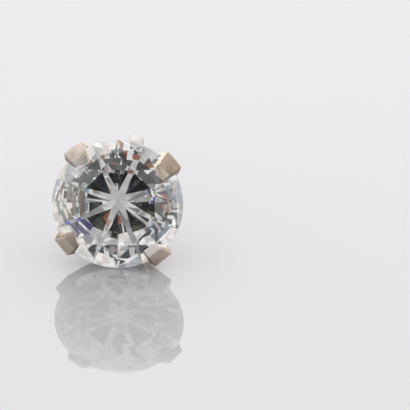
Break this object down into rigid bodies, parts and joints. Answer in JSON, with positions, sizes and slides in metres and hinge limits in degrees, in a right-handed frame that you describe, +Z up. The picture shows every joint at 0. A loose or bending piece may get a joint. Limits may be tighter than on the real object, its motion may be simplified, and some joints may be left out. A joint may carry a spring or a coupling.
{
  "type": "stud earring",
  "caption": "Stud earring: a round brilliant cut stone in a square-clawed basket, on a straight post pushed through the ear lobe.",
  "frame": {"origin": "on the floor, at the middle of the stud's length and width as it lies", "axes": "+Z up, -Y the way the stone's face looks, +Y along the post on the floor"},
  "size_m": [0.006, 0.0144, 0.0059],
  "materials": {
    "diamond": "polished, clear",
    "white_gold": "worn satin"
  },
  "bodies": {
    "root": {"stone": "diamond", "claw_setting": "white_gold"}
  },
  "joints": []
}
